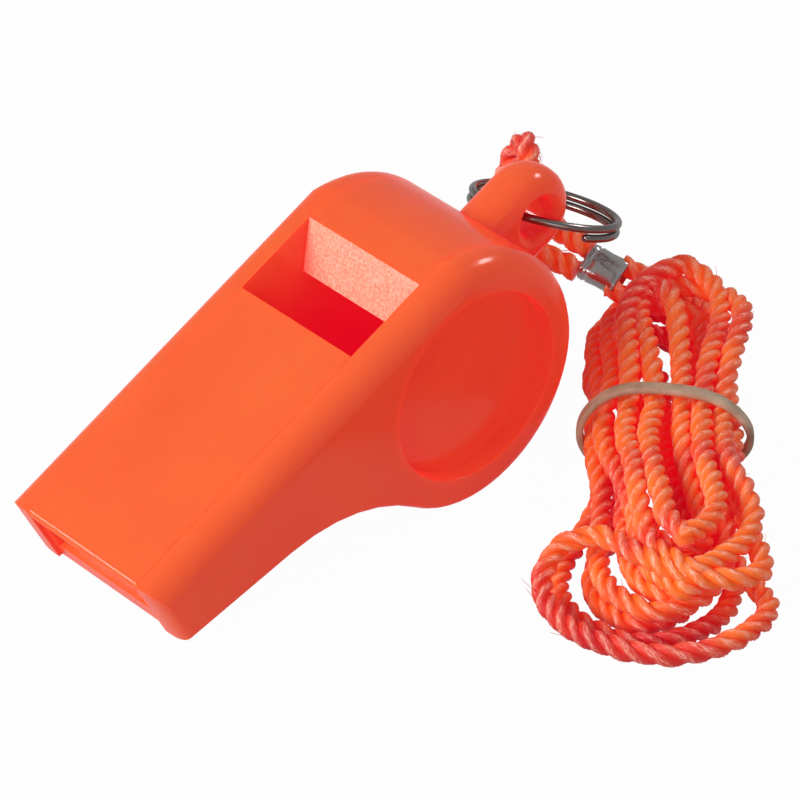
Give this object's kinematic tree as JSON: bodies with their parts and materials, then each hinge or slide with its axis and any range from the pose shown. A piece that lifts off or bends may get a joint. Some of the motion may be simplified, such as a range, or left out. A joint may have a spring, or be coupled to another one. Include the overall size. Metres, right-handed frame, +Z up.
{
  "type": "whistle",
  "caption": "Moulded plastic pea whistle on a split ring, with a cord lanyard wound into a hank and held by a rubber band.",
  "frame": {"origin": "on the floor, below the middle of the whistle and its split ring", "axes": "+X from the mouth to the lug, +Z up, -Y to the side that faces the viewer, where the lanyard lies"},
  "size_m": [0.0603, 0.0492, 0.0219],
  "materials": {
    "orange_plastic": "glossy moulded plastic, slightly translucent",
    "cork": "fine grained cork",
    "ring_steel": "polished drawn steel wire",
    "orange_cord": "shiny synthetic cord of three laid strands",
    "ferrule_steel": "crimped sheet steel",
    "tan_rubber": "matt cut rubber"
  },
  "bodies": {
    "whistle": {"centre_body": "orange_plastic", "near_cover": "orange_plastic", "far_cover": "orange_plastic"},
    "pea": {"pea": "cork"},
    "split_ring": {"split_ring": "ring_steel"},
    "lanyard": {"cord_loop": "orange_cord", "ferrule": "ferrule_steel", "cord_hank": "orange_cord", "rubber_band": "tan_rubber"}
  },
  "joints": [
    {"name": "pea_roll", "type": "hinge", "parent": "whistle", "child": "pea", "pos_m": [0.00449, 0, 0.01095], "axis": [0, 1, 0], "range_deg": [-170, 85]},
    {"name": "ring_swing", "type": "hinge", "parent": "whistle", "child": "split_ring", "pos_m": [0.01735, 0, 0.01765], "axis": [0, -1, 0], "range_deg": [-12, 90]},
    {"name": "lanyard_swing", "type": "hinge", "parent": "split_ring", "child": "lanyard", "pos_m": [0.0236, 0.00748, 0.01349], "axis": [-0.8801, 0.3567, 0.3133], "range_deg": [0, 40]}
  ]
}
